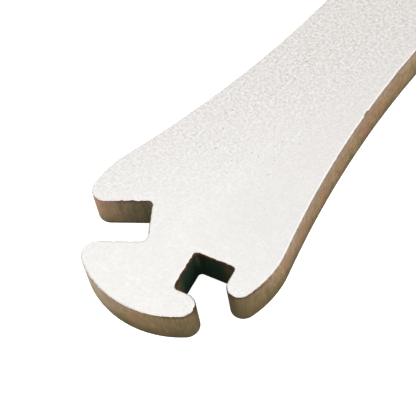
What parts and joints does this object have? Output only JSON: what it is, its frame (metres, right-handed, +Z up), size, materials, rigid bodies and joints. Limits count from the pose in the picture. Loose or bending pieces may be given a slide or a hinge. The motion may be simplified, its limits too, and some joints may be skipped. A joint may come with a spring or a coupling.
{
  "type": "spoke wrench",
  "caption": "Flat double-ended steel wrench for bicycle spoke nipples; each round head has a side slot and a square jaw open at one corner.",
  "frame": {"origin": "middle of the underside, halfway between the two heads", "axes": "+X along the handle from the first head, which the picture shows, to the second; +Y across the handle, towards the first head's slot; +Z up through the plate"},
  "size_m": [0.09, 0.016, 0.003],
  "materials": {
    "nickel_plate": "matt nickel plate with a fine tumbled grain on both faces, and brown oxide on the cut edge"
  },
  "bodies": {
    "root": {"wrench_plate": "nickel_plate"}
  },
  "joints": []
}
